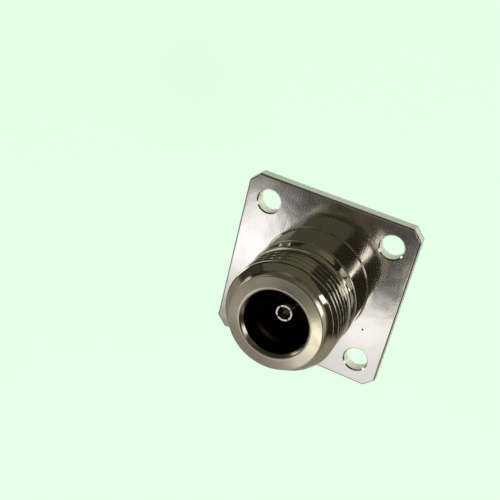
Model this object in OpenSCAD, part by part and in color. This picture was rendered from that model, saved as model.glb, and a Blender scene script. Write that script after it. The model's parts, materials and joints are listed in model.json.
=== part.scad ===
// Square-flange coaxial jack with a stepped nose that ends in a small push-on plug.
// Origin: centre of the flange's rear mounting face. +Z runs along the axis, out of the large mouth.
// Millimetres.

/* [Flange] */
// Width across the flats of the square flange
flange_w = 25.4; // [24:0.1:32]
// Thickness of the flange
flange_t = 2; // [1.6:0.1:4]
// Leg of the cut across each flange corner
flange_corner = 1.4; // [0.6:0.1:2.4]
// Edge break round both faces of the flange
flange_edge = 0.2; // [0.1:0.05:0.4]
// Spacing of the four mounting holes, along both sides
hole_pitch = 18.3; // [17.8:0.1:18.8]
// Diameter of a mounting hole
hole_d = 3.4; // [2.4:0.1:3.8]
// Deburring cone at each end of a mounting hole
hole_deburr = 0.12; // [0.05:0.01:0.25]

/* [Barrel] */
// Diameter of the plain neck in front of the flange
neck_d = 15.96; // [15.96:0.02:17]
// Length of the plain neck
neck_l = 5.5; // [4:0.1:9]
// Diameter of the turned land behind the thread
land_d = 15.3; // [14.9:0.05:15.3]
// Length of the land
land_l = 1.5; // [0.5:0.1:3]
// Crest diameter of the coupling thread
thread_d = 15.64; // [15.6:0.02:15.84]
// Length of the coupling thread
thread_l = 5.85; // [4.5:0.05:9]
// Pitch of the coupling thread, whose grooves are cut here as separate rings
thread_pitch = 1.058; // [0.9:0.001:1.3]
// Width of the flat on each crest of the thread
crest_w = 0.2; // [0.12:0.01:0.4]
// Width of the flat at the bottom of each groove
root_w = 0.17; // [0.1:0.01:0.3]
// Angle of each flank of the thread from a plane across the axis
flank_a = 30; // [25:1:35]
// Length of the lead-in cone in front of the thread
lead_l = 0.5; // [0.2:0.1:1]
// Diameter of the plain pilot at the front
pilot_d = 13.1; // [11.6:0.1:14]
// Length of the pilot
pilot_l = 1.65; // [1:0.05:3]
// Edge break on the barrel's turned corners
turned_edge = 0.12; // [0.05:0.01:0.2]

/* [Socket] */
// Diameter at the outer edge of the mouth's chamfer
mouth_d = 9.9; // [9.3:0.1:11]
// Depth of the mouth's chamfer
mouth_l = 0.5; // [0.3:0.1:1]
// Diameter of the entry bore behind the chamfer
entry_d = 8.8; // [8.6:0.1:9]
// Depth of the entry bore, from the front face
entry_l = 3.3; // [2.5:0.1:4.5]
// Length of the cone between the entry bore and the socket bore
taper_l = 0.7; // [0.4:0.1:1.2]
// Diameter of the socket bore, which takes the mating plug's outer contact
socket_d = 8.1; // [7.9:0.05:8.4]
// Depth of the shoulder that the mating plug seats on, from the front face
socket_l = 9.1; // [8:0.1:10]
// Bore through that shoulder
shoulder_d = 7; // [6.4:0.1:7.4]
// Thickness of the shoulder
shoulder_l = 0.5; // [0.4:0.1:1]
// Diameter of the bore that holds the front bead
bead_d = 8; // [7.7:0.1:9]
// Thickness of the front bead
bead_l = 2; // [1.5:0.1:2.5]

/* [Socket contact] */
// Outside diameter of the socket contact
contact_d = 3.04; // [2.8:0.02:3.4]
// Depth of the contact's tip behind the front face
contact_set = 3.6; // [3.4:0.1:4.5]
// Hole in the contact, for the mating plug's pin
contact_hole_d = 1.65; // [1.5:0.05:1.8]
// Depth of that hole
contact_hole_l = 4.6; // [3.5:0.1:5]
// Number of spring fingers
contact_fingers = 4; // [3:1:6]
// Width of the slots between the fingers
contact_slot = 0.2; // [0.1:0.05:0.3]
// Length of the slots
contact_slot_l = 4; // [3:0.1:4.4]
// Length of the cone outside the tip
contact_taper_l = 0.9; // [0.3:0.1:1.5]
// Diameter of the tip's flat end
contact_tip_d = 2.35; // [2.1:0.05:2.6]
// Diameter of the shank behind the contact
shank_d = 2; // [1.8:0.1:2.4]
// Length of the shank
shank_l = 5; // [4:0.1:6]

/* [Nose] */
// Diameter of the spigot pressed into the flange
spigot_d = 11; // [9.8:0.1:12]
// Depth of the seat in the flange's rear face that the first step stands in
nose_seat_l = 0.4; // [0.2:0.1:0.8]
// Diameter of the first step
step1_d = 13.7; // [12.6:0.1:14.4]
// Length of the first step
step1_l = 2.3; // [1.5:0.1:4]
// Diameter of the second step
step2_d = 9.8; // [7:0.1:12]
// Length of the second step
step2_l = 2.75; // [1.5:0.05:4]
// Diameter of the third step
step3_d = 5.7; // [5.2:0.1:6.5]
// Length of the third step
step3_l = 2.8; // [2:0.1:4]
// Chamfer on the front corner of each step
step_edge = 0.25; // [0.1:0.05:0.4]
// Diameter of the bore through the middle of the nose
nose_bore_d = 4.4; // [4:0.1:4.8]

/* [Push-on plug] */
// Diameter of the plug's sleeve
sleeve_d = 3.45; // [3.3:0.05:3.8]
// Length of the plain sleeve that shows behind the nose
sleeve_l = 2.9; // [2:0.1:4]
// Diameter of the sleeve's seat, pressed into the nose
sleeve_seat_d = 3.9; // [3.85:0.05:3.95]
// Length of that seat
sleeve_seat_l = 3; // [2:0.1:4]
// Bore of the sleeve
sleeve_bore_d = 2.4; // [2.2:0.05:2.5]
// Diameter of the spring fingers at the plug's end
finger_d = 3.1; // [3:0.05:3.15]
// Length of the spring fingers
finger_l = 3.1; // [2.5:0.1:4]
// Number of spring fingers
fingers = 4; // [3:1:6]
// Width of the slots between the fingers
finger_slot = 0.3; // [0.2:0.05:0.4]
// Diameter at the root groove of the fingers
groove_d = 2.8; // [2.75:0.05:2.95]
// Width of the root groove
groove_w = 0.3; // [0.2:0.05:0.5]
// Diameter of the snap ridge
ridge_d = 3.4; // [3.3:0.02:3.44]
// Width of the snap ridge
ridge_w = 0.9; // [0.6:0.1:1.2]
// Distance of the ridge's middle from the plug's end
ridge_set = 0.85; // [0.7:0.05:1.2]

/* [Plug pin] */
// Diameter of the pin's body
pin_body_d = 1; // [0.8:0.05:1.2]
// Diameter of the pin's stub, pressed into the socket contact's shank
pin_stub_d = 0.8; // [0.6:0.05:0.9]
// Length of the stub
pin_stub_l = 2; // [1.5:0.1:2.5]
// Diameter of the free pin
pin_d = 0.5; // [0.4:0.02:0.6]
// Distance of the pin's point inside the plug's end
pin_set = 0.6; // [0.3:0.1:1]

/* [Hidden] */
$fn = 56;

// Radial gap between pieces that are pressed or slid together
fit_gap = 0.02;
// Gap between the bottom of a hole and what stands in it
end_gap = 0.2;
// Extra length of a cutting tool past the face that it leaves
past = 1;

// Heights along the barrel
neck_z = flange_t + neck_l;
land_z = neck_z + land_l;
thread_z = land_z + thread_l;
lead_z = thread_z + lead_l;
face_z = lead_z + pilot_l;

// Grooves of the thread: how many there is room for, and how deep their flanks make them
groove_count = floor(thread_l / thread_pitch - 0.4);
groove_l = (thread_pitch - crest_w - root_w) / 2 / tan(flank_a);

// Heights inside the socket
entry_z = face_z - entry_l;
socket_z = entry_z - taper_l;
seat_z = face_z - socket_l;
bead_z = seat_z - shoulder_l;
spigot_z = bead_z - bead_l;

// Heights of the contact
tip_z = face_z - contact_set;
shank_z = bead_z - shank_l;

// Heights down the nose and the plug
step1_z = -step1_l;
step2_z = step1_z - step2_l;
step3_z = step2_z - step3_l;
sleeve_top_z = step3_z + sleeve_seat_l;
finger_z = step3_z - sleeve_l;
plug_z = finger_z - finger_l;

nickel = "#cfc9bb";
bright_nickel = "#d9d5ca";
black_polymer = "#1b1b1d";
white_polymer = "#ece9e2";

// Plate with a broken edge: a slab of the given depth seen end on
module bevelled_slab(width) {
    rotate([90, 0, 0])
        linear_extrude(2 * flange_w, center = true)
            polygon([
                [-width / 2 + flange_edge, 0],
                [width / 2 - flange_edge, 0],
                [width / 2, flange_edge],
                [width / 2, flange_t - flange_edge],
                [width / 2 - flange_edge, flange_t],
                [-width / 2 + flange_edge, flange_t],
                [-width / 2, flange_t - flange_edge],
                [-width / 2, flange_edge]
            ]);
}

// Square plate with its corners cut at 45 degrees, every edge broken
module flange_plate() {
    diagonal_w = sqrt(2) * (flange_w - flange_corner);
    intersection() {
        bevelled_slab(flange_w);
        rotate(90) bevelled_slab(flange_w);
        rotate(45) bevelled_slab(diagonal_w);
        rotate(-45) bevelled_slab(diagonal_w);
    }
}

// Drill for one mounting hole, with a deburring cone at both faces
module mounting_hole() {
    r = hole_d / 2;
    translate([0, 0, -past])
        cylinder(r = r, h = flange_t + 2 * past);
    translate([0, 0, flange_t - hole_deburr])
        cylinder(r1 = r, r2 = r + hole_deburr + past, h = hole_deburr + past);
    translate([0, 0, -past])
        cylinder(r1 = r + hole_deburr + past, r2 = r, h = hole_deburr + past);
}

// Outside of the barrel: neck, land, thread, lead-in cone and pilot
module barrel() {
    rotate_extrude()
        polygon([
            [0, flange_t / 2],
            [neck_d / 2, flange_t / 2],
            [neck_d / 2, neck_z - turned_edge],
            [neck_d / 2 - turned_edge, neck_z],
            [land_d / 2, neck_z],
            [land_d / 2, land_z],
            [thread_d / 2, land_z + (thread_d - land_d) / 2],
            [thread_d / 2, thread_z],
            [pilot_d / 2, lead_z],
            [pilot_d / 2, face_z - turned_edge],
            [pilot_d / 2 - turned_edge, face_z],
            [0, face_z]
        ]);
}

// Ring cutter for one groove of the thread, centred on its own height
module thread_groove() {
    root_r = thread_d / 2 - groove_l;
    reach = groove_l + past;
    rotate_extrude()
        polygon([
            [root_r, root_w / 2],
            [root_r, -root_w / 2],
            [root_r + reach, -root_w / 2 - reach * tan(flank_a)],
            [root_r + reach, root_w / 2 + reach * tan(flank_a)]
        ]);
}

// Inside of the barrel: chamfer, entry bore, cone, socket bore, shoulder, bead, spigot and nose seats
module barrel_bore() {
    rotate_extrude()
        polygon([
            [0, face_z + past],
            [mouth_d / 2, face_z + past],
            [mouth_d / 2, face_z],
            [entry_d / 2, face_z - mouth_l],
            [entry_d / 2, entry_z],
            [socket_d / 2, socket_z],
            [socket_d / 2, seat_z],
            [shoulder_d / 2, seat_z],
            [shoulder_d / 2, bead_z],
            [bead_d / 2, bead_z],
            [bead_d / 2, spigot_z],
            [spigot_d / 2, spigot_z],
            [spigot_d / 2, nose_seat_l],
            [step1_d / 2 + fit_gap, nose_seat_l],
            [step1_d / 2 + fit_gap, -past],
            [0, -past]
        ]);
}

// Turned body: square flange and threaded barrel in one piece
module flange_body() {
    color(nickel)
        difference() {
            union() {
                flange_plate();
                barrel();
            }
            barrel_bore();
            for (x = [-1, 1], y = [-1, 1])
                translate([x, y, 0] * hole_pitch / 2) mounting_hole();
            for (i = [0:groove_count - 1])
                translate([0, 0, thread_z - (i + 0.75) * thread_pitch]) thread_groove();
        }
}

// Insulating disc between the shoulder and the spigot, which centres the socket contact
module front_bead() {
    color(black_polymer)
        rotate_extrude()
            translate([shank_d / 2 + fit_gap, spigot_z])
                square([bead_d / 2 - shank_d / 2 - 2 * fit_gap, bead_l]);
}

// Slots that part a tube into fingers, cut from the tube's end towards the inside
module finger_slots(count, width, reach) {
    for (i = [0 : count - 1])
        rotate((i + 0.5) * 360 / count)
            translate([0, -width / 2, 0])
                cube([contact_d, width, reach]);
}

// Centre contact of the socket: slotted tube on a thinner shank, drilled for the plug's pin
module socket_contact() {
    color(bright_nickel)
        difference() {
            rotate_extrude()
                polygon([
                    [0, shank_z],
                    [shank_d / 2, shank_z],
                    [shank_d / 2, bead_z],
                    [contact_d / 2, bead_z],
                    [contact_d / 2, tip_z - contact_taper_l],
                    [contact_tip_d / 2, tip_z],
                    [0, tip_z]
                ]);
            translate([0, 0, tip_z - contact_hole_l])
                cylinder(d = contact_hole_d, h = contact_hole_l + past);
            translate([0, 0, tip_z - contact_slot_l])
                finger_slots(contact_fingers, contact_slot, contact_slot_l + past);
            translate([0, 0, shank_z - past])
                cylinder(d = pin_stub_d + 2 * fit_gap, h = pin_stub_l + end_gap + past);
        }
}

// Outside of the nose: spigot and three steps, each with a chamfered front corner
module nose_outside() {
    rotate_extrude()
        polygon([
            [0, spigot_z],
            [spigot_d / 2 - fit_gap, spigot_z],
            [spigot_d / 2 - fit_gap, nose_seat_l],
            [step1_d / 2, nose_seat_l],
            [step1_d / 2, step1_z + step_edge],
            [step1_d / 2 - step_edge, step1_z],
            [step2_d / 2, step1_z],
            [step2_d / 2, step2_z + step_edge],
            [step2_d / 2 - step_edge, step2_z],
            [step3_d / 2, step2_z],
            [step3_d / 2, step3_z + step_edge],
            [step3_d / 2 - step_edge, step3_z],
            [0, step3_z]
        ]);
}

// Rear half of the outer conductor, pressed into the flange from behind
module nose_body() {
    color(nickel)
        difference() {
            nose_outside();
            rotate_extrude()
                polygon([
                    [0, spigot_z + past],
                    [shoulder_d / 2, spigot_z + past],
                    [shoulder_d / 2, 0],
                    [nose_bore_d / 2, 0],
                    [nose_bore_d / 2, sleeve_top_z],
                    [sleeve_seat_d / 2 + fit_gap, sleeve_top_z],
                    [sleeve_seat_d / 2 + fit_gap, step3_z - past],
                    [0, step3_z - past]
                ]);
        }
}

// Stepped insulator that fills the nose and the sleeve, round the shank and the pin
module nose_insulator() {
    color(white_polymer)
        rotate_extrude()
            polygon([
                [shank_d / 2 + fit_gap, spigot_z],
                [shoulder_d / 2 - fit_gap, spigot_z],
                [shoulder_d / 2 - fit_gap, 0],
                [nose_bore_d / 2 - fit_gap, 0],
                [nose_bore_d / 2 - fit_gap, sleeve_top_z],
                [sleeve_bore_d / 2 - fit_gap, sleeve_top_z],
                [sleeve_bore_d / 2 - fit_gap, finger_z],
                [pin_body_d / 2 + fit_gap, finger_z],
                [pin_body_d / 2 + fit_gap, shank_z],
                [shank_d / 2 + fit_gap, shank_z]
            ]);
}

// Outside of the plug: seat, sleeve, root groove, fingers, snap ridge and a broken edge at the end
module plug_outside() {
    ridge_z = plug_z + ridge_set;
    rise = (ridge_d - finger_d) / 2;
    flat = ridge_w / 2 - 2 * rise;
    rotate_extrude()
        polygon([
            [0, sleeve_top_z],
            [sleeve_seat_d / 2, sleeve_top_z],
            [sleeve_seat_d / 2, step3_z],
            [sleeve_d / 2, step3_z],
            [sleeve_d / 2, finger_z + groove_w],
            [groove_d / 2, finger_z + groove_w],
            [groove_d / 2, finger_z],
            [finger_d / 2, finger_z],
            [finger_d / 2, ridge_z + ridge_w / 2],
            [ridge_d / 2, ridge_z + flat],
            [ridge_d / 2, ridge_z - flat],
            [finger_d / 2, ridge_z - ridge_w / 2],
            [finger_d / 2, plug_z + turned_edge],
            [finger_d / 2 - turned_edge, plug_z],
            [0, plug_z]
        ]);
}

// Outer contact of the push-on plug: a sleeve whose end is slit into spring fingers
module plug_sleeve() {
    color(bright_nickel)
        difference() {
            plug_outside();
            translate([0, 0, plug_z - past])
                cylinder(d = sleeve_bore_d, h = sleeve_top_z - plug_z + 2 * past);
            translate([0, 0, plug_z - past])
                finger_slots(fingers, finger_slot, finger_l + past);
        }
}

// Centre pin of the push-on plug: stub, body and a thin pin with a rounded point
module plug_pin() {
    point_z = plug_z + pin_set;
    color(bright_nickel)
        rotate_extrude()
            polygon(concat(
                [
                    [0, shank_z + pin_stub_l],
                    [pin_stub_d / 2, shank_z + pin_stub_l],
                    [pin_stub_d / 2, shank_z],
                    [pin_body_d / 2, shank_z],
                    [pin_body_d / 2, finger_z],
                    [pin_d / 2, finger_z]
                ],
                [for (a = [0 : 15 : 90]) [cos(a), -sin(a)] * pin_d / 2 + [0, point_z + pin_d / 2]]
            ));
}

flange_body();
front_bead();
socket_contact();
nose_body();
nose_insulator();
plug_sleeve();
plug_pin();
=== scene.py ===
"""Square-flange coaxial panel jack: turned and plated surfaces, beads, floor, light and camera.

Everything is in metres in the CAD frame: the origin is the centre of the flange's rear face and +Z
runs out of the large mouth. Shapes are worked out in millimetres and scaled once, where a mesh is
made.
"""
import json

import bpy
import numpy as np
from mathutils import Matrix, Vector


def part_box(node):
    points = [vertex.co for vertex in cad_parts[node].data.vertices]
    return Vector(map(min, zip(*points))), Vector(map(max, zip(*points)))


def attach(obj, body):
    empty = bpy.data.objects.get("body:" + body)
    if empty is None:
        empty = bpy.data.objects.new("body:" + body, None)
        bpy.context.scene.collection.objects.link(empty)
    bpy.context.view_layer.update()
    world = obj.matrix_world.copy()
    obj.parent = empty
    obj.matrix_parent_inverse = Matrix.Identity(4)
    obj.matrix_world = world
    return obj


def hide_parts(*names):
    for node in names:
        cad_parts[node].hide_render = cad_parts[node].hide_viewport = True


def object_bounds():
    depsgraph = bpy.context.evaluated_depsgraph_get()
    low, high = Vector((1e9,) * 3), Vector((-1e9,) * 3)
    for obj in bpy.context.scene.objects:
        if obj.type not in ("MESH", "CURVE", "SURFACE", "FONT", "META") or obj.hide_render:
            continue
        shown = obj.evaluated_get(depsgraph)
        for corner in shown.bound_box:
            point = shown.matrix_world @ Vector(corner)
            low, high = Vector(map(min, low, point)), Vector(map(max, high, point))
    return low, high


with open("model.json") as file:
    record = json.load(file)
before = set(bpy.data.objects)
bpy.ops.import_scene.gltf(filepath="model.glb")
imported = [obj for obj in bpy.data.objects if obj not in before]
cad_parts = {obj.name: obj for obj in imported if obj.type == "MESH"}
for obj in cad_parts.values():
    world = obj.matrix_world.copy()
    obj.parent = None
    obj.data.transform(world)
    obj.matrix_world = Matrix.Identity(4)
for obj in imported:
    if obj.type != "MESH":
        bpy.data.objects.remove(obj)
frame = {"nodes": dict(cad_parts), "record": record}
cad_low, cad_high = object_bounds()

MM = 0.001
TURN = 2 * np.pi
MOUNT = {m["name"]: m for m in frame["record"]["mounts"]}


def dims(mount, key="r_mm"):
    """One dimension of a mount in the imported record, in millimetres."""
    return MOUNT[mount]["dims"][key]


def span(node):
    """Lowest and highest corner of a CAD node, in millimetres."""
    low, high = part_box(node)
    return np.array(low) / MM, np.array(high) / MM


# ---------------------------------------------------------------- sizes in millimetres
# _r is a radius, _z a height on the axis, _t a thickness, _l a length along it and _w a width
body_top = span("flange_body")[1]

# flange
half_w = body_top[0]
flange_t = MOUNT["panel_face_front"]["pos_m"][2] / MM
corner_cut = 1.4
edge_round = 0.24
hole_at = dims("panel_holes", "spacing_x_mm") / 2
hole_r = dims("panel_holes", "hole_r_mm")
deburr = 0.17

# outside of the barrel: foot, neck, tapered land, thread, lead-in cone and pilot
foot_fillet = 0.2
neck_r = dims("neck")
neck_edge = 0.2
neck_z = flange_t + 5.5
land_r = 7.65
land_fall = 0.18
land_z = neck_z + 1.5
land_drop = 0.06
thread_start = land_z - 0.4
thread_r = dims("coupling_thread")
thread_z = land_z + 5.85
lead_z = thread_z + 0.5
pilot_r = 6.55
pilot_taper = 0.17

# coupling thread, 24 to the inch
pitch = 25.4 / 24
groove_depth = 0.56
groove_half = 0.39
groove_phase = 10.88 / pitch - 40 / 360    # at 40 degrees a groove's middle is 10.88 high
groove_start_z = land_z + 0.1
groove_run_l = 2.5                         # length over which the grooves reach their depth
front_round = (0.2, 0.1)                   # rounding behind and in front of the thread's end

# inside of the barrel: face, mouth, bores for the mating plug, the bead and the nose's spigot
face_z = body_top[2]
face_fall = 0.2
lip_r = 4.8
lip_l = 0.5
entry_r = dims("socket_mouth")
entry_z = face_z - 3.3
socket_r = 4.05
socket_z = entry_z - 0.7
seat_z = face_z - 9.1
shoulder_r = 3.5
bead_z = seat_z - 0.5
bead_r = 4.0
spigot_z = bead_z - 2.0
spigot_r = 5.5
nose_seat_z = 0.4
nose_seat_r = 6.87
shelf_z = 0.8

# stepped nose
step_r = (6.85, 4.9, 2.85)
step_z = (-2.3, -5.05, -7.85)
step_edge = 0.25
step_foot = 0.08
nose_bore_r = 2.2
sleeve_seat_r = 1.95
sleeve_top_z = step_z[2] + 3.0
press_gap = 0.02

# push-on sleeve and its fingers
sleeve_r = dims("push_plug")
sleeve_bore_r = 1.2
plug_z = span("plug_sleeve")[0][2]
finger_z = step_z[2] - 2.9
finger_r = 1.55
finger_slot = 0.3
finger_tip = 0.12
finger_tip_l = 0.2
ridge_r = 1.7
ridge_z = plug_z + 0.85
ridge_w = 0.9
groove_r = 1.4
groove_w = 0.3

# socket contact and its fingers
contact_r = 1.52
tip_z = span("socket_contact")[1][2]
shank_z = span("socket_contact")[0][2]
contact_hole_r = dims("contact_hole")
contact_hole_z = tip_z - 4.6
contact_taper_l = 0.9
contact_tip_r = 1.12
contact_slot = 0.2
contact_slot_z = tip_z - 4.0
contact_lip = 0.1
contact_lip_l = 0.12
shank_r = 1.0
shank_hole_r = 0.42

# how finely the surfaces are cut
BARREL_TURNS = 256
NOSE_TURNS = 192
TUBE_TURNS = 128
HUB_STEPS = 36            # steps of the flange's hub in each quarter
THREAD_ROWS = 36          # rows of points in each pitch
HOLD = 0.05               # a point this far inside a flat's end keeps its shading flat
MERGE_DIGITS = 4          # points that agree to this many decimals are one
SHARP_ANGLE = np.radians(31)


# ---------------------------------------------------------------- meshes
def weave(rows, cols, wrap_rows=False, wrap_cols=False):
    """Quads of a grid of rows x cols points, as an (n, 4) array of point numbers.

    Each quad joins a point to the next one along both directions; a wrapped direction joins its
    last to its first.
    """
    r = np.arange(rows if wrap_rows else rows - 1)
    c = np.arange(cols if wrap_cols else cols - 1)
    r, c = np.meshgrid(r, c, indexing="ij")
    r1, c1 = (r + 1) % rows, (c + 1) % cols
    quads = np.stack([r * cols + c, r * cols + c1, r1 * cols + c1, r1 * cols + c], axis=-1)
    return quads.reshape(-1, 4)


def patch(grid, wrap_rows=False, wrap_cols=True, flip=False, finish=0):
    """A grid of points in millimetres, how it closes, which way it faces and its finish number."""
    return grid, wrap_rows, wrap_cols, flip, finish


def make_piece(name, patches, materials, node):
    """One mesh object from patches, merged along their shared edges, that stands for a CAD node."""
    points, quads, finishes, start = [], [], [], 0
    for grid, wrap_rows, wrap_cols, flip, finish in patches:
        rows, cols = grid.shape[:2]
        faces = weave(rows, cols, wrap_rows, wrap_cols) + start
        quads.append(faces[:, ::-1] if flip else faces)
        finishes.append(np.full(len(faces), finish))
        points.append(grid.reshape(-1, 3))
        start += rows * cols
    points = np.concatenate(points)
    quads, finishes = np.concatenate(quads), np.concatenate(finishes)
    # points that coincide become one, so that the patches close on each other
    _, first, same = np.unique(np.round(points, MERGE_DIGITS), axis=0, return_index=True,
                               return_inverse=True)
    quads = same.reshape(-1)[quads]
    points = points[first]
    # a quad that has shrunk to a line is dropped, one that has shrunk to a triangle keeps three
    # corners
    keep = quads != np.roll(quads, -1, axis=1)
    whole = keep.sum(axis=1) > 2
    quads, keep, finishes = quads[whole], keep[whole], finishes[whole]
    count = keep.sum(axis=1)
    loops = quads[keep]
    mesh = bpy.data.meshes.new(name)
    mesh.vertices.add(len(points))
    mesh.vertices.foreach_set("co", (points * MM).astype(np.float32).ravel())
    mesh.loops.add(len(loops))
    mesh.loops.foreach_set("vertex_index", loops.astype(np.int32))
    mesh.polygons.add(len(quads))
    mesh.polygons.foreach_set("loop_start", (np.cumsum(count) - count).astype(np.int32))
    mesh.polygons.foreach_set("use_smooth", np.ones(len(quads), bool))
    for material in materials:
        mesh.materials.append(material)
    mesh.polygons.foreach_set("material_index", finishes.astype(np.int32))
    mesh.update(calc_edges=True)
    mesh.validate()
    mesh.set_sharp_from_angle(angle=SHARP_ANGLE)
    piece = bpy.data.objects.new(name, mesh)
    bpy.context.scene.collection.objects.link(piece)
    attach(piece, "root")
    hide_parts(node)


def polar(r, angle, z):
    """Points (r cos angle, r sin angle, z) of radii, angles and heights, as columns or rows."""
    return np.stack(np.broadcast_arrays(r * np.cos(angle), r * np.sin(angle), z), axis=-1)


def once_round(count):
    """Even angles once round the axis, as a row."""
    return np.linspace(0, TURN, count, endpoint=False)[None, :]


def revolve(profile, turns):
    """Surface of revolution: each profile point (r, z) goes round to (r cos a, r sin a, z)."""
    return polar(profile[:, :1], once_round(turns), profile[:, 1:])


def turned_run(corners, steps=5, hold=0.03, closed=False):
    """Half section of a turned piece: straight runs between corners, each corner an arc of its own.

    corners are rows of (radius, height, arc radius) along the surface. An arc is the circle that
    touches both runs, cut into equal steps, and a run gets a point just inside both of its ends so
    that its shading stays straight; where the run is short, that point lies a quarter of it inside.
    """
    corners = np.array(corners, float)
    here, size = corners[:, :2], corners[:, 2]
    to_last, to_next = np.roll(here, 1, axis=0) - here, np.roll(here, -1, axis=0) - here
    if not closed:
        to_last[0], to_next[-1] = -to_next[0], -to_last[-1]
    a = to_last / np.linalg.norm(to_last, axis=1, keepdims=True)
    b = to_next / np.linalg.norm(to_next, axis=1, keepdims=True)
    half = np.arccos(np.clip((a * b).sum(axis=1), -1, 1)) / 2
    reach = np.where(size > 0, size / np.tan(half), 0)
    room = np.linalg.norm(to_next, axis=1) - reach - np.roll(reach, -1)
    inside = np.clip(room / 4, 0, hold)
    start, end = here + a * reach[:, None], here + b * reach[:, None]
    bisector = a + b
    bisector /= np.maximum(np.linalg.norm(bisector, axis=1, keepdims=True), 1e-9)
    middle = here + bisector * (size / np.sin(half))[:, None]
    # on the arc a point is (sin((1 - u) t) start + sin(u t) end) / sin(t) from its middle, t being
    # its whole turn and u going from 0 to 1
    turn = (np.pi - 2 * half)[:, None, None]
    u = np.linspace(0, 1, steps + 1)[None, :, None]
    swing = (np.sin((1 - u) * turn) * (start - middle)[:, None]
             + np.sin(u * turn) * (end - middle)[:, None])
    arc = middle[:, None] + swing / np.maximum(np.sin(turn), 1e-9)
    arc = np.where((size > 0)[:, None, None], arc, here[:, None])
    before = start + a * np.roll(inside, 1)[:, None]
    after = end + b * inside[:, None]
    if not closed:
        before[0], after[-1] = here[0], here[-1]
    return np.concatenate([before[:, None], arc, after[:, None]], axis=1).reshape(-1, 2)


def slit_fingers(z, r_out, r_in, slot, count=4, turns=19):
    """Fingers of a slit tube, each a closed section (outer arc, inner arc back) along the axis.

    A slot's walls are parallel, so at radius r a slot of width w takes asin(w / 2r) off each side
    of a finger's share of the circle. Both ends are closed by a strip between the two arcs.
    """
    across = np.linspace(-1, 1, turns)[None, :]
    patches = []
    for finger in range(1, count + 1):
        arcs = []
        for r, way in ((r_out[:, None], across), (r_in[:, None], -across)):
            angle = finger * TURN / count + way * (TURN / count / 2 - np.arcsin(slot / 2 / r))
            arcs.append(polar(r, angle, z[:, None]))
        low, high = (np.stack([arcs[0][end], arcs[1][end, ::-1]]) for end in (0, -1))
        patches += [patch(np.concatenate(arcs, axis=1)), patch(low, wrap_cols=False, flip=True),
                    patch(high, wrap_cols=False)]
    return patches


# ---------------------------------------------------------------- nodes
FACTOR, COLOUR_A, COLOUR_B, MIXED = 0, 6, 7, 2    # sockets of a Mix node that mixes colours
NOISE_SPAN = {"From Min": 0.3, "From Max": 0.7}   # nearly all of a noise lies between these


def hex_colour(text):
    """An sRGB hex colour as linear RGBA."""
    c = np.array([int(text[i:i + 2], 16) for i in (1, 3, 5)]) / 255
    c = np.where(c <= 0.04045, c / 12.92, ((c + 0.055) / 1.055) ** 2.4)
    return (*c.tolist(), 1.0)


def add(tree, kind, inputs=None, **settings):
    """Adds a node: settings are its own properties, inputs are values or sockets to link to it."""
    node = tree.nodes.new(kind)
    for key, value in settings.items():
        setattr(node, key, value)
    for key, value in (inputs or {}).items():
        if isinstance(value, bpy.types.NodeSocket):
            tree.links.new(value, node.inputs[key])
        else:
            node.inputs[key].default_value = value
    return node


def new_material(name):
    """An empty node material and its tree."""
    material = bpy.data.materials.new(name)
    material.use_nodes = True
    material.node_tree.nodes.clear()
    return material, material.node_tree


def turned_lines(tree, spacing_mm):
    """Turning lines: noise that depends on the distance from the axis and the height alone."""
    where = add(tree, "ShaderNodeTexCoord").outputs["Object"]
    flat = add(tree, "ShaderNodeVectorMath", {0: where, 1: (1, 1, 0)}, operation="MULTIPLY")
    radius = add(tree, "ShaderNodeVectorMath", {0: flat.outputs["Vector"]}, operation="LENGTH")
    height = add(tree, "ShaderNodeSeparateXYZ", {0: where})
    line = add(tree, "ShaderNodeCombineXYZ", {
        "X": radius.outputs["Value"], "Y": height.outputs["Z"]})
    noise = add(tree, "ShaderNodeTexNoise", {
        "Vector": line.outputs[0], "Scale": 1 / (spacing_mm * MM), "Detail": 2.0})
    return noise.outputs["Fac"]


def turned_nickel(name, roughness=0.065, swirl=0.015, stretch=0.35, colour="#cfc6b6",
                  line_mm=0.16, line_depth_mm=0.0012, cloud_mm=2.5):
    """Bright nickel plate on turned brass: a warm grey mirror with faint lines round the axis.

    The tool's real feed is about 0.05 mm; the lines are drawn three times as coarse so that they
    show. Handling leaves the gloss clouded over a few millimetres, by swirl each way.
    """
    material, tree = new_material(name)
    where = add(tree, "ShaderNodeTexCoord").outputs["Object"]
    cloud = add(tree, "ShaderNodeTexNoise", {
        "Vector": where, "Scale": 1 / (cloud_mm * MM), "Detail": 3.0})
    rough = add(tree, "ShaderNodeMapRange", {
        "Value": cloud.outputs["Fac"], **NOISE_SPAN,
        "To Min": roughness - swirl, "To Max": roughness + swirl})
    bump = add(tree, "ShaderNodeBump", {
        "Strength": 1.0, "Distance": line_depth_mm * MM, "Height": turned_lines(tree, line_mm)})
    round_axis = add(tree, "ShaderNodeTangent", direction_type="RADIAL", axis="Z")
    shader = add(tree, "ShaderNodeBsdfPrincipled", {
        "Base Color": hex_colour(colour), "Metallic": 1.0, "Roughness": rough.outputs["Result"],
        "Anisotropic": stretch, "Tangent": round_axis.outputs[0], "Normal": bump.outputs["Normal"]})
    add(tree, "ShaderNodeOutputMaterial", {"Surface": shader.outputs["BSDF"]})
    return material


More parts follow.
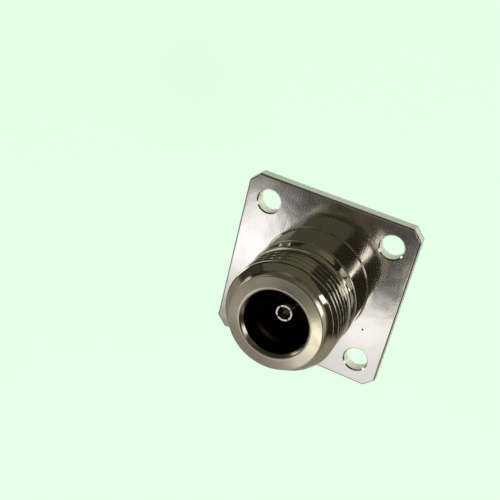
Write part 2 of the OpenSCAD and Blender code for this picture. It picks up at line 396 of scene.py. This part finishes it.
def lapped_nickel(grain_mm=0.22, scratch_mm=0.25, cloud_mm=3.0, wave_mm=3.2, grain_depth_mm=0.0022,
                  wave_share=9.0, pit_share=-30.0):
    """Bright nickel plate on a lapped flange: nearly a mirror, clouded by fine random scratches.

    Lapping grit leaves scratches of a few hundredths of a millimetre; they are drawn ten times as
    wide so that they show, some 4 mm long and all one way. A punched plate is never quite flat
    either: its waves are some 3 mm long and wave_share times as deep as the grain. One tiny pit
    goes through the plate and shows dark.
    """
    pit_at = (8.82 * MM, -4.17 * MM, flange_t * MM)
    pit_floor, pit_rim = 0.07 * MM, 0.16 * MM
    scratch_turn, scratch_stretch = 0.6, 0.06
    material, tree = new_material("lapped_nickel_flange")
    where = add(tree, "ShaderNodeTexCoord").outputs["Object"]
    grain = add(tree, "ShaderNodeTexNoise", {
        "Vector": where, "Scale": 1 / (grain_mm * MM), "Detail": 3.0})
    along = add(tree, "ShaderNodeMapping", {
        "Vector": where, "Rotation": (0, 0, scratch_turn), "Scale": (1, scratch_stretch, 1)})
    scratches = add(tree, "ShaderNodeTexNoise", {
        "Vector": along.outputs[0], "Scale": 1 / (scratch_mm * MM), "Detail": 2.0})
    cloud = add(tree, "ShaderNodeTexNoise", {
        "Vector": where, "Scale": 1 / (cloud_mm * MM), "Detail": 3.0})
    rough = add(tree, "ShaderNodeMapRange", {
        "Value": cloud.outputs["Fac"], **NOISE_SPAN, "To Min": 0.09, "To Max": 0.14})
    from_pit = add(tree, "ShaderNodeVectorMath", {0: where, 1: pit_at}, operation="DISTANCE")
    pit = add(tree, "ShaderNodeMapRange", {
        "Value": from_pit.outputs["Value"], "From Min": pit_floor, "From Max": pit_rim,
        "To Min": 1.0, "To Max": 0.0}, interpolation_type="SMOOTHSTEP")
    both = add(tree, "ShaderNodeMath", {
        0: grain.outputs["Fac"], 1: scratches.outputs["Fac"]}, operation="ADD")
    wave = add(tree, "ShaderNodeTexNoise", {
        "Vector": where, "Scale": 1 / (wave_mm * MM), "Detail": 1.5})
    uneven = add(tree, "ShaderNodeMath", {
        0: wave.outputs["Fac"], 1: wave_share, 2: both.outputs[0]}, operation="MULTIPLY_ADD")
    height = add(tree, "ShaderNodeMath", {
        0: pit.outputs["Result"], 1: pit_share, 2: uneven.outputs[0]}, operation="MULTIPLY_ADD")
    bump = add(tree, "ShaderNodeBump", {
        "Strength": 1.0, "Distance": grain_depth_mm * MM, "Height": height.outputs[0]})
    colour = add(tree, "ShaderNodeMix", {
        FACTOR: pit.outputs["Result"], COLOUR_A: hex_colour("#d4d0cb"),
        COLOUR_B: hex_colour("#4a443c")}, data_type="RGBA")
    shader = add(tree, "ShaderNodeBsdfPrincipled", {
        "Base Color": colour.outputs[MIXED], "Metallic": 1.0, "Roughness": rough.outputs["Result"],
        "Normal": bump.outputs["Normal"]})
    add(tree, "ShaderNodeOutputMaterial", {"Surface": shader.outputs["BSDF"]})
    return material


def tumbled_nickel(grain_mm=0.3, grain_depth_mm=0.006):
    """Tumbled nickel edges: matt and painted near-white as light, with no clear reflection.

    Such a surface scatters light so widely that it is drawn mostly as a dull body; its near-white
    colour is painted light, as pale as these edges look where light falls on them. The tumbling
    chips' dents, about 0.1 mm, are drawn three times as coarse so that they show.
    """
    material, tree = new_material("tumbled_nickel_edge")
    where = add(tree, "ShaderNodeTexCoord").outputs["Object"]
    grain = add(tree, "ShaderNodeTexNoise", {
        "Vector": where, "Scale": 1 / (grain_mm * MM), "Detail": 3.0})
    rough = add(tree, "ShaderNodeMapRange", {
        "Value": grain.outputs["Fac"], **NOISE_SPAN, "To Min": 0.42, "To Max": 0.55})
    bump = add(tree, "ShaderNodeBump", {
        "Strength": 1.0, "Distance": grain_depth_mm * MM, "Height": grain.outputs["Fac"]})
    # the near-white base colour is painted light, paler than the plate's own grey
    shader = add(tree, "ShaderNodeBsdfPrincipled", {
        "Base Color": hex_colour("#f3f3ea"), "Metallic": 0.1, "Roughness": rough.outputs["Result"],
        "Normal": bump.outputs["Normal"]})
    add(tree, "ShaderNodeOutputMaterial", {"Surface": shader.outputs["BSDF"]})
    return material


def contact_plate(line_mm=0.08, line_depth_mm=0.0008):
    """White bronze plate on spring bronze: a slightly whiter mirror than the nickel, less clear.

    The tool's lines are drawn a little coarser than the real feed of about 0.05 mm.
    """
    material, tree = new_material("bright_contact_plate")
    lines = turned_lines(tree, line_mm)
    rough = add(tree, "ShaderNodeMapRange", {
        "Value": lines, **NOISE_SPAN, "To Min": 0.14, "To Max": 0.24})
    bump = add(tree, "ShaderNodeBump", {
        "Strength": 1.0, "Distance": line_depth_mm * MM, "Height": lines})
    shader = add(tree, "ShaderNodeBsdfPrincipled", {
        "Base Color": hex_colour("#dcd7cd"), "Metallic": 1.0, "Roughness": rough.outputs["Result"],
        "Normal": bump.outputs["Normal"]})
    add(tree, "ShaderNodeOutputMaterial", {"Surface": shader.outputs["BSDF"]})
    return material


def polymer(name, colour, roughness, line_mm, line_depth_mm=0.002, uneven=0.06):
    """Moulded or turned polymer: a dull body under a weak gloss, with faint lines round the axis.

    The lines, which a turned mould leaves too, are drawn two to four times as coarse as the
    tool's real feed of about 0.05 mm.
    """
    material, tree = new_material(name)
    lines = turned_lines(tree, line_mm)
    rough = add(tree, "ShaderNodeMapRange", {
        "Value": lines, **NOISE_SPAN, "To Min": roughness - uneven, "To Max": roughness + uneven})
    bump = add(tree, "ShaderNodeBump", {
        "Strength": 0.6, "Distance": line_depth_mm * MM, "Height": lines})
    shader = add(tree, "ShaderNodeBsdfPrincipled", {
        "Base Color": hex_colour(colour), "Roughness": rough.outputs["Result"], "IOR": 1.5,
        "Normal": bump.outputs["Normal"]})
    add(tree, "ShaderNodeOutputMaterial", {"Surface": shader.outputs["BSDF"]})
    return material


nickel_barrel = turned_nickel("turned_nickel_barrel")
nickel_face = turned_nickel("faced_nickel_rim", roughness=0.18, swirl=0.05, stretch=0.4)
# the bore's plate is drawn dark brown: painted shade deep inside the bore
nickel_bore = turned_nickel("thin_nickel_in_the_bore", roughness=0.2, colour="#3b342c")
nickel_nose = turned_nickel("turned_nickel_nose", roughness=0.12)
nickel_flange = lapped_nickel()
nickel_edge = tumbled_nickel()
plate_contact = contact_plate()
black_bead = polymer("moulded_black_polymer", "#18181a", roughness=0.5, line_mm=0.2)
white_filler = polymer("turned_white_fluoropolymer", "#ebe8e1", roughness=0.42, line_mm=0.1)

# ---------------------------------------------------------------- flange
QUARTERS = ((1, 0), (0, 1), (-1, 0), (0, -1))    # cosine and sine of each right angle
hole_centre = np.array([hole_at, hole_at])
foot_r = neck_r + foot_fillet
# the flat face ends where the edge's rounding starts, along the sides and along the cut corners
flat_half = half_w - edge_round
flat_cut = corner_cut - edge_round * (2 - np.sqrt(2))


def side_points(start, end, count):
    """Points from start towards end at even angles about the hole's centre, and one near each end.

    A ray of direction u from the centre meets the line at ((start - centre) . n) / (u . n), n being
    the line's normal; the end itself is left to the next side.
    """
    start, end = np.array(start, float), np.array(end, float)
    along = (end - start) / np.linalg.norm(end - start)
    normal = np.array([along[1], -along[0]])
    to_start, to_end = start - hole_centre, end - hole_centre
    a, b = np.arctan2(to_start[1], to_start[0]), np.arctan2(to_end[1], to_end[0])
    ray = np.linspace(a, a + (b - a) % TURN, count + 1)[1:-1]
    u = np.stack([np.cos(ray), np.sin(ray)], axis=-1)
    between = hole_centre + u * (to_start @ normal / (u @ normal))[:, None]
    return np.concatenate([[start, start + along * HOLD], between, [end - along * HOLD]])


def quarter_outline(hub_r, side_steps=22, short_steps=6):
    """Outline of a quarter of the plate, anticlockwise about its hole, after its outer part alone.

    The outer part is a side, the cut corner and a side; a centre line, the hub and the other
    centre line follow.
    """
    turn = np.linspace(np.pi / 2, 0, HUB_STEPS + 1)[:, None]
    hub = hub_r * np.concatenate([np.cos(turn), np.sin(turn)], axis=1)
    half, corner = flat_half, flat_half - flat_cut
    outer = np.concatenate([side_points((half, 0), (half, corner), side_steps),
                            side_points((half, corner), (corner, half), short_steps),
                            side_points((corner, half), (0, half), side_steps)])
    whole = np.concatenate([outer, side_points((0, half), (0, hub_r), short_steps), hub[:-1],
                            side_points((hub_r, 0), (half, 0), short_steps)])
    return outer, whole


def turned_round(grid):
    """The four copies of a grid, each turned by a right angle about the axis."""
    x, y, z = grid[..., 0], grid[..., 1], grid[..., 2]
    return [np.stack([c * x - s * y, s * x + c * y, z], axis=-1) for c, s in QUARTERS]


def plate_quarter(outline, height):
    """A quarter of a flat face: from the hole's rim straight out to the outline, by shares.

    The shares are close to each other at both ends, which keeps the shading there flat.
    """
    away = outline - hole_centre
    away /= np.linalg.norm(away, axis=1, keepdims=True)
    rim = hole_centre + away * (hole_r + deburr)
    share = np.concatenate([[0, 0.015], np.linspace(0.08, 0.92, 8), [0.985, 1]])[:, None, None]
    flat = rim + (outline - rim) * share
    return np.concatenate([flat, np.full_like(flat[..., :1], height)], axis=-1)


def edge_band(path, arc=7):
    """The plate's outer edge in three grids: front round, straight side and rear round.

    The section is a quarter circle of arc points, the side and a quarter circle. Each of its points
    moves out along the mitre of its place on the path: the sum of the two sides' normals over one
    plus their dot product.
    """
    ahead = np.roll(path, -1, axis=0) - path
    ahead /= np.linalg.norm(ahead, axis=1, keepdims=True)
    normal = np.stack([ahead[:, 1], -ahead[:, 0]], axis=-1)
    last = np.roll(normal, 1, axis=0)
    mitre = (normal + last) / (1 + (normal * last).sum(axis=1, keepdims=True))
    t = np.linspace(0, np.pi / 2, arc)
    out, down = edge_round * np.sin(t), edge_round * (1 - np.cos(t))
    out = np.concatenate([out, out[-1:], out[-1:], out[::-1]])
    side = [flange_t - down[-1] - HOLD, down[-1] + HOLD]
    height = np.concatenate([flange_t - down, side, down[::-1]])
    ring = path + mitre * out[:, None, None]
    height = np.broadcast_to(height[:, None, None], (*ring.shape[:2], 1))
    band = np.concatenate([ring, height], axis=-1)
    return band[:arc + 1], band[arc:arc + 2], band[arc + 1:]


def hole_wall(front_line, rear_line):
    """A screw hole, straight with a deburring cone at both faces; its angles blend between them."""
    section = np.array([[hole_r + deburr, flange_t], [hole_r, flange_t - deburr],
                        [hole_r, flange_t - deburr - HOLD], [hole_r, deburr + HOLD],
                        [hole_r, deburr], [hole_r + deburr, 0]])
    r, z = section[:, :1], section[:, 1:]
    a, b = (np.unwrap(np.arctan2(*(line - hole_centre).T[::-1]))
            for line in (front_line, rear_line))
    turn = a + (b - a) * ((flange_t - z) / flange_t)
    return polar(r, turn, z) + (hole_at, hole_at, 0)


def make_flange():
    """The plate: two faces, four holes, outer edge, and the step that the barrel's foot stands on.

    Finish 0 is lapped with the faces, and 1 is as sheared and tumbled, painted pale as light.
    """
    outer, front_line = quarter_outline(foot_r)
    rear_line = quarter_outline(nose_seat_r)[1]
    patches = [patch(face, flip=True) for face in turned_round(plate_quarter(front_line, flange_t))]
    patches += [patch(face) for face in turned_round(plate_quarter(rear_line, 0.0))]
    for wall in turned_round(hole_wall(front_line, rear_line)):
        # the straight hole wall takes finish 1, painted pale as light
        patches += [patch(wall[:2]), patch(wall[1:5], finish=1), patch(wall[4:])]
    sides = turned_round(np.pad(outer, ((0, 0), (0, 1))))
    front, side, rear = edge_band(np.concatenate([points[:, :2] for points in sides]))
    patches += [patch(front, flip=True), patch(side, flip=True, finish=1), patch(rear, flip=True)]
    step = np.array([[foot_r, flange_t], [foot_r, shelf_z], [nose_seat_r, shelf_z],
                     [nose_seat_r, 0]])
    return patches + [patch(revolve(step, len(QUARTERS) * HUB_STEPS))]


# ---------------------------------------------------------------- barrel
def thread_radius(angle, height, steps=1024, spread=0.018, reach=0.16):
    """Radius of a right-hand 60 degree thread with a flat crest and root, rounded by its plating.

    The groove's middle climbs one pitch a turn, so the distance to it along the axis is the saw of
    height - pitch * angle / turn. The depth grows from the groove's edge at 1 / tan(30 degrees)
    down to the root, and a bell curve of the given spread, in pitches, rounds its corners. A smooth
    step lets it grow from nothing at the land.
    """
    phase = np.linspace(-0.5, 0.5, steps + 1)
    depth = np.clip((groove_half - np.abs(phase) * pitch) / np.tan(np.pi / 6), 0, groove_depth)
    near = np.linspace(-reach, reach, 2 * int(np.ceil(reach * steps)) + 1)
    bell = np.exp(-0.5 * (near / spread) ** 2)
    depth = np.convolve(np.tile(depth[:-1], 3), bell / bell.sum(), "same")[steps:2 * steps + 1]
    saw = height / pitch - angle / TURN - groove_phase
    saw = saw - np.round(saw)
    grown = np.clip((height - groove_start_z) / groove_run_l, 0, 1)
    return thread_r - np.interp(saw, phase, depth) * grown * grown * (3 - 2 * grown)


def make_thread(step=0.01, round_steps=10):
    """The threaded length: at each angle and height the smaller of the blank's and thread's radii.

    The blank falls a little towards the thread's rear end and rises there in a square step. At its
    front end it is rounded over into the lead-in cone: the radius falls with the square of the way,
    to meet the cone.
    """
    cone_r = pilot_r + pilot_taper
    cone_slope = (thread_r - cone_r) / (lead_z - thread_z)
    round_z = np.linspace(thread_z - front_round[0], thread_z + front_round[1], round_steps)
    ease = np.linspace(0, 1, round_steps)
    round_r = thread_r - cone_slope * front_round[1] * ease ** 2
    z = np.concatenate([np.arange(thread_start, lead_z, pitch / THREAD_ROWS), round_z,
                        [land_z - step, land_z + step, lead_z - step, lead_z]])
    z = np.unique(np.round(z, 5))[:, None]
    turn = once_round(BARREL_TURNS)
    blank = np.interp(z, [thread_start, land_z - step, land_z + step, *round_z, lead_z],
                      [land_r, land_r - land_drop, thread_r, *round_r, cone_r])
    return polar(np.maximum(np.minimum(blank, thread_radius(turn, z)), pilot_r), turn, z)


def make_barrel():
    """The turned barrel: foot, neck and land, the thread, the face, and the way down the inside.

    Finish 0 is the turned outside, 1 the lead-in and the face, and 2 the bore, painted dark as
    shade.
    """
    turn = np.linspace(-np.pi / 2, -np.pi, 8)[:, None]
    foot = (foot_r, flange_t + foot_fillet) + foot_fillet * np.concatenate(
        [np.cos(turn), np.sin(turn)], axis=1)
    neck = turned_run([(neck_r, flange_t + foot_fillet, 0), (neck_r, neck_z, neck_edge),
                       (land_r + land_fall, neck_z, 0)])
    # the land is turned a little tapered, down to its own radius where the thread starts
    fall = np.linspace(1, 0, 9)[:, None]
    land = np.concatenate([land_r + land_fall * fall,
                           thread_start - (thread_start - neck_z) * fall], axis=1)
    outside = np.concatenate([foot, neck, land])
    # the face falls a little towards its rim, and its inner edge is rolled over into a steep lip
    lip_z = face_z - lip_l
    face = turned_run([
        (pilot_r + pilot_taper, lead_z, 0), (pilot_r, face_z - face_fall, 0.16),
        (lip_r, face_z, 0.42), (entry_r, lip_z, 0)])
    inside = turned_run([
        (entry_r, lip_z, 0), (entry_r, entry_z, 0.1), (socket_r, socket_z, 0.1),
        (socket_r, seat_z, 0.04), (shoulder_r, seat_z, 0.06), (shoulder_r, bead_z, 0.06),
        (bead_r, bead_z, 0.03), (bead_r, spigot_z, 0.03), (spigot_r, spigot_z, 0.03),
        (spigot_r, nose_seat_z, 0.05), (nose_seat_r, nose_seat_z, 0), (nose_seat_r, shelf_z, 0),
        (foot_r, shelf_z, 0), (foot_r, flange_t, 0)])
    return [patch(revolve(outside, BARREL_TURNS)), patch(make_thread()),
            patch(revolve(face, BARREL_TURNS), finish=1),
            patch(revolve(inside, BARREL_TURNS), finish=2)]


# ---------------------------------------------------------------- nose, contacts and beads
def make_nose():
    """The stepped nose: a spigot in the body, three round-edged steps and the insulator's bore."""
    top_z, top_r = spigot_z + press_gap, spigot_r - press_gap / 2
    section = turned_run([
        (nose_bore_r, top_z, 0.05), (nose_bore_r, sleeve_top_z, 0),
        (sleeve_seat_r, sleeve_top_z, 0), (sleeve_seat_r, step_z[2], 0.05),
        (step_r[2], step_z[2], step_edge), (step_r[2], step_z[1], step_foot),
        (step_r[1], step_z[1], step_edge), (step_r[1], step_z[0], step_foot),
        (step_r[0], step_z[0], step_edge), (step_r[0], nose_seat_z, 0.05),
        (top_r, nose_seat_z, 0.02), (top_r, top_z, 0.05)], closed=True)
    return [patch(revolve(section, NOSE_TURNS), wrap_rows=True)]


def make_sleeve():
    """The push-on plug: a seated tube, and four fingers with a groove behind their rounded ridge.

    The ridge stands out by a flattened cosine of the height, cos(x) to the power 0.7. The groove
    is a trapezium: 1.6 times a tent as wide as 1.2 grooves, held at full depth. The tips fall in
    by the square of the way to their end.
    """
    top_z, seat_r = sleeve_top_z - press_gap, sleeve_seat_r - press_gap
    wall = turned_run([
        (sleeve_bore_r, top_z, 0.03), (sleeve_bore_r, finger_z, 0), (sleeve_r, finger_z, 0.02),
        (sleeve_r, step_z[2], 0.02), (seat_r, step_z[2], 0.03), (seat_r, top_z, 0.03)], closed=True)
    ridge_end = ridge_z + ridge_w / 2
    z = np.sort(np.concatenate([
        plug_z + np.array([0, 0.02, 0.1, finger_tip_l]),
        ridge_z + np.linspace(-1, 1, 13) * ridge_w / 2,
        ridge_end + np.array([0.03, groove_w, groove_w + 0.06, 0.9, 1.4]), [finger_z]]))
    across = np.clip((z - ridge_z) / ridge_w * np.pi, -np.pi / 2, np.pi / 2)
    ridge = (ridge_r - finger_r) * np.cos(across) ** 0.7
    tent = np.clip(1 - np.abs(z - (ridge_end + groove_w / 2)) / (groove_w * 0.6), 0, 1)
    groove = (finger_r - groove_r) * np.minimum(tent * 1.6, 1)
    tip = finger_tip * np.clip(1 - (z - plug_z) / finger_tip_l, 0, 1) ** 2
    r = finger_r + ridge - groove - tip
    return [patch(revolve(wall, TUBE_TURNS), wrap_rows=True),
            *slit_fingers(z, r, np.full_like(z, sleeve_bore_r), finger_slot)]


def make_contact():
    """The socket contact: a drilled shank in the bead, a tube, and four fingers drawn in.

    Towards its tip a finger's radius falls with the way there to the power 1.5, and the hole
    widens again in a short cone.
    """
    wall = turned_run([
        (shank_hole_r, shank_z, 0.02), (shank_r, shank_z, 0.06), (shank_r, bead_z, 0.02),
        (contact_r, bead_z, 0.1), (contact_r, contact_slot_z, 0),
        (contact_hole_r, contact_slot_z, 0), (contact_hole_r, contact_hole_z, 0),
        (shank_hole_r, contact_hole_z, 0)], closed=True)
    drawn = tip_z - contact_taper_l
    z = np.concatenate([[contact_slot_z], np.linspace(contact_slot_z + 0.3, drawn - 0.1, 6),
                        drawn + contact_taper_l * np.linspace(0, 1, 9)[1:]])
    way = np.clip((z - drawn) / contact_taper_l, 0, 1)
    r = contact_r - (contact_r - contact_tip_r) * way ** 1.5
    r_in = contact_hole_r + contact_lip * np.clip(
        (z - tip_z + contact_lip_l) / contact_lip_l, 0, 1)
    return [patch(revolve(wall, TUBE_TURNS), wrap_rows=True),
            *slit_fingers(z, r, r_in, contact_slot)]


make_piece("flange_plate", make_flange(), [nickel_flange, nickel_edge],
           "flange_body")
make_piece("threaded_barrel", make_barrel(), [nickel_barrel, nickel_face, nickel_bore],
           "flange_body")
make_piece("stepped_nose", make_nose(), [nickel_nose], "nose_body")
make_piece("push_on_sleeve", make_sleeve(), [plate_contact], "plug_sleeve")
make_piece("slit_socket_contact", make_contact(), [plate_contact],
           "socket_contact")

for node, material in (("front_bead", black_bead), ("nose_insulator", white_filler),
                       ("plug_pin", plate_contact)):
    frame["nodes"][node].material_slots[0].material = material

# ---------------------------------------------------------------- floor and backdrop
PAPER = hex_colour("#e4ffe7")
FILL = hex_colour("#fbf4ea")
FLOOR_DROP = 0.2          # the floor lies this far below the jack, in metres
FLOOR_HALF = 3.0
FLOOR_POINTS = 25
SHADOW_SHARE = 0.15       # share of the floor's shade that the light gives, and a shadow takes


def by_ray(tree, others, seen):
    """Gives camera, glossy and transmission rays the shader seen, and all other rays others."""
    path = add(tree, "ShaderNodeLightPath")
    share = path.outputs["Is Camera Ray"]
    for kind in ("Is Glossy Ray", "Is Transmission Ray"):
        share = add(tree, "ShaderNodeMath", {0: share, 1: path.outputs[kind]},
                    operation="MAXIMUM").outputs[0]
    return add(tree, "ShaderNodeMixShader", {0: share, 1: others, 2: seen}).outputs[0]


def stage_piece(name, points, quads, material):
    """A mesh object of the studio, which isn't part of the jack; its points are in metres."""
    mesh = bpy.data.meshes.new(name)
    mesh.from_pydata(points.reshape(-1, 3).tolist(), [], quads[:, ::-1].tolist())
    mesh.materials.append(material)
    piece = bpy.data.objects.new(name, mesh)
    bpy.context.scene.collection.objects.link(piece)
    return piece


def make_floor():
    """A wide sheet of pale paper well below the jack, a flat grid of points."""
    side = np.linspace(-FLOOR_HALF, FLOOR_HALF, FLOOR_POINTS)
    x, y = np.meshgrid(side, side, indexing="ij")
    points = np.stack([x, y, np.full_like(x, cad_low[2] - FLOOR_DROP)], axis=-1)
    # paper lights up the jack as it is, and is seen evenly pale with a faint shadow
    material, tree = new_material("pale_paper")
    dull = add(tree, "ShaderNodeBsdfDiffuse", {"Color": PAPER})
    glow = add(tree, "ShaderNodeEmission", {"Color": PAPER, "Strength": 1 - SHADOW_SHARE})
    lit = add(tree, "ShaderNodeBsdfDiffuse", {
        "Color": (*(SHADOW_SHARE * np.array(PAPER[:3])).tolist(), 1)})
    seen = add(tree, "ShaderNodeAddShader", {0: glow.outputs[0], 1: lit.outputs[0]})
    add(tree, "ShaderNodeOutputMaterial", {
        "Surface": by_ray(tree, dull.outputs[0], seen.outputs[0])})
    stage_piece("paper_floor", points, weave(FLOOR_POINTS, FLOOR_POINTS), material)


def make_world():
    """A weak warm fill light, and the paper's own colour where the world is seen."""
    world = bpy.data.worlds.new("studio")
    bpy.context.scene.world = world
    world.use_nodes = True
    tree = world.node_tree
    tree.nodes.clear()
    fill = add(tree, "ShaderNodeBackground", {"Color": FILL, "Strength": 0.3})
    seen = add(tree, "ShaderNodeBackground", {"Color": PAPER, "Strength": 1.0})
    add(tree, "ShaderNodeOutputWorld", {
        "Surface": by_ray(tree, fill.outputs[0], seen.outputs[0])})


make_floor()
make_world()

# ---------------------------------------------------------------- light
# The tent's cloth: the elevations in degrees between which it goes over to each shade.
CLOTH = (
    (-90, -90, (0.10, 0.09, 0.062)),
    (-36, -24, (0.85, 0.9, 0.8)),
    (-2, 10, (0.032, 0.028, 0.02)),
)
# The tent's windows: azimuth, elevation, inner and outer angle in degrees, and light. A window
# that stands later covers the ones before it, so a dim one is a dark card in front of them.
WINDOWS = (
    (65, -12, 28, 45, (0.12, 0.12, 0.09)),
    (114, -24, 20, 28, (0.09, 0.085, 0.06)),
    (119, -73, 7, 13, (1.5, 1.55, 1.4)),
    (60, 6, 12, 26, (0.18, 0.18, 0.14)),
    (236, 79, 7, 9.5, (0.5, 0.49, 0.44)),
    (246, 62, 10, 20, (0.08, 0.077, 0.073)),
    (251, 18, 44, 46.5, (1.1, 1.1, 1.1)),
    (228.5, 59, 2.5, 5.3, (1.8, 1.8, 1.8)),
    (262, 60.2, 1, 3.2, (1.7, 1.7, 1.7)),
    (248, 18, 33, 37, (0.32, 0.31, 0.275)),
    (300, 31, 14, 27, (0.36, 0.34, 0.29)),
    (200, 66, 7.5, 9.5, (0.42, 0.4, 0.36)),
    (198.5, 47, 18, 21, (0.32, 0.31, 0.275)),
    (206, 26, 7, 11, (0.3, 0.29, 0.25)),
    (178, 40, 9, 15, (0.06, 0.055, 0.045)),
    (210, -4, 8, 20, (0.05, 0.045, 0.035)),
    (177, 11, 7, 11, (2.3, 2.25, 2.05)),
    (277.3, 62, 3, 5, (2.2, 2.2, 1.9)),
    (278, 67, 2.2, 4.2, (1.9, 1.9, 1.65)),
    (108, 62, 14.5, 17, (0.125, 0.12, 0.08)),
    (147, 57, 10, 13, (0.12, 0.115, 0.08)),
    (50, 73, 6, 10, (0.13, 0.125, 0.08)),
    (21.5, 65.5, 3, 4.8, (2.5, 2.5, 2.4)),
    (19, 59, 1, 2.6, (3.8, 3.75, 3.65)),
    (18, 43, 6, 9, (0.8, 0.8, 0.75)),
    (18, 24, 9, 12, (1.5, 1.5, 1.45)),
    (320, 2, 14, 24, (0.3, 0.29, 0.23)),
    (315, -48, 28, 42, (0.42, 0.4, 0.33)),
    (345, -80, 23.5, 28, (0.06, 0.055, 0.045)),
    (21, -40, 8, 12, (2.8, 2.8, 2.7)),
    (67, -59, 8, 30, (0.2, 0.19, 0.13)),
    (60, -60, 9, 14, (0.02, 0.018, 0.012)),
)
TENT_R = 0.185
TENT_ROWS, TENT_COLS = 48, 96


def direction(azimuth, elevation):
    """Unit vectors of angles in degrees: azimuth round +Z from +X, elevation above the floor."""
    a, e = np.radians(azimuth), np.radians(elevation)
    return np.stack([np.cos(e) * np.cos(a), np.cos(e) * np.sin(a), np.sin(e)], axis=-1)


def make_tent():
    """A round tent of dark cloth with lit windows, as card held round a bright metal.

    Only reflections see it. A window's light is a smooth step of the angle between its own
    direction and the point's, from its inner angle to its outer one; the cloth goes from shade to
    shade with height.
    """
    elevation, azimuth = np.meshgrid(
        np.linspace(-90, 90, TENT_ROWS), np.linspace(0, 360, TENT_COLS, endpoint=False),
        indexing="ij")
    material, tree = new_material("dark_tent_cloth")
    where = add(tree, "ShaderNodeTexCoord").outputs["Object"]
    way = add(tree, "ShaderNodeVectorMath", {0: where}, operation="NORMALIZE").outputs["Vector"]
    height = add(tree, "ShaderNodeSeparateXYZ", {0: way}).outputs["Z"]
    steps = [(height, np.sin(np.radians(low)), np.sin(np.radians(high)), shade)
             for low, high, shade in CLOTH[1:]]
    for azimuth_deg, elevation_deg, inner, outer, light in WINDOWS:
        dot = add(tree, "ShaderNodeVectorMath", {
            0: way, 1: direction(azimuth_deg, elevation_deg).tolist()}, operation="DOT_PRODUCT")
        steps.append((dot.outputs["Value"], np.cos(np.radians(outer)), np.cos(np.radians(inner)),
                      light))
    colour = (*CLOTH[0][2], 1)
    for value, start, end, shade in steps:
        share = add(tree, "ShaderNodeMapRange", {
            "Value": value, "From Min": float(start), "From Max": float(end)},
            interpolation_type="SMOOTHSTEP")
        colour = add(tree, "ShaderNodeMix", {
            FACTOR: share.outputs["Result"], COLOUR_A: colour, COLOUR_B: (*shade, 1)},
            data_type="RGBA").outputs[MIXED]
    glow = add(tree, "ShaderNodeEmission", {"Color": colour, "Strength": 1.0})
    add(tree, "ShaderNodeOutputMaterial", {"Surface": glow.outputs[0]})
    tent = stage_piece("dark_tent", TENT_R * direction(azimuth, elevation),
                       weave(TENT_ROWS, TENT_COLS, wrap_cols=True), material)
    tent.visible_camera = tent.visible_diffuse = False
    tent.visible_transmission = tent.visible_shadow = False


def softbox(name, azimuth, elevation, distance, size, power):
    """A square area lamp turned to the jack for its dull pieces; the tent's windows show for it."""
    lamp = bpy.data.lights.new(name, "AREA")
    lamp.size, lamp.energy, lamp.color = size, power, (1.0, 0.97, 0.92)
    holder = bpy.data.objects.new(name, lamp)
    back = direction(azimuth, elevation)
    right = np.cross([0, 0, 1], back)
    right /= np.linalg.norm(right)
    place = np.eye(4)
    place[:3] = np.stack([right, np.cross(back, right), back, back * distance], axis=1)
    holder.matrix_world = Matrix(place.tolist())
    holder.visible_glossy = False
    bpy.context.scene.collection.objects.link(holder)


make_tent()
softbox("window_light", azimuth=255, elevation=46, distance=0.9, size=0.7, power=8)
softbox("side_light", azimuth=19, elevation=59, distance=0.9, size=0.15, power=4)

# ---------------------------------------------------------------- camera
# the columns of its matrix are its right, up and back directions and its place
camera_data = bpy.data.cameras.new("camera")
camera_data.sensor_width, camera_data.lens = 36, 61.306
camera_data.clip_start, camera_data.clip_end = 0.005, 10
camera = bpy.data.objects.new("camera", camera_data)
camera.matrix_world = Matrix((
    (0.8945663, -0.3554970, 0.2708745, 0.0231834),
    (0.2146455, 0.8733289, 0.4372916, 0.0548065),
    (-0.3920184, -0.3330444, 0.8575564, 0.1075998),
    (0, 0, 0, 1)))
bpy.context.scene.collection.objects.link(camera)
bpy.context.scene.camera = camera

bpy.context.scene.view_settings.view_transform = "Standard"
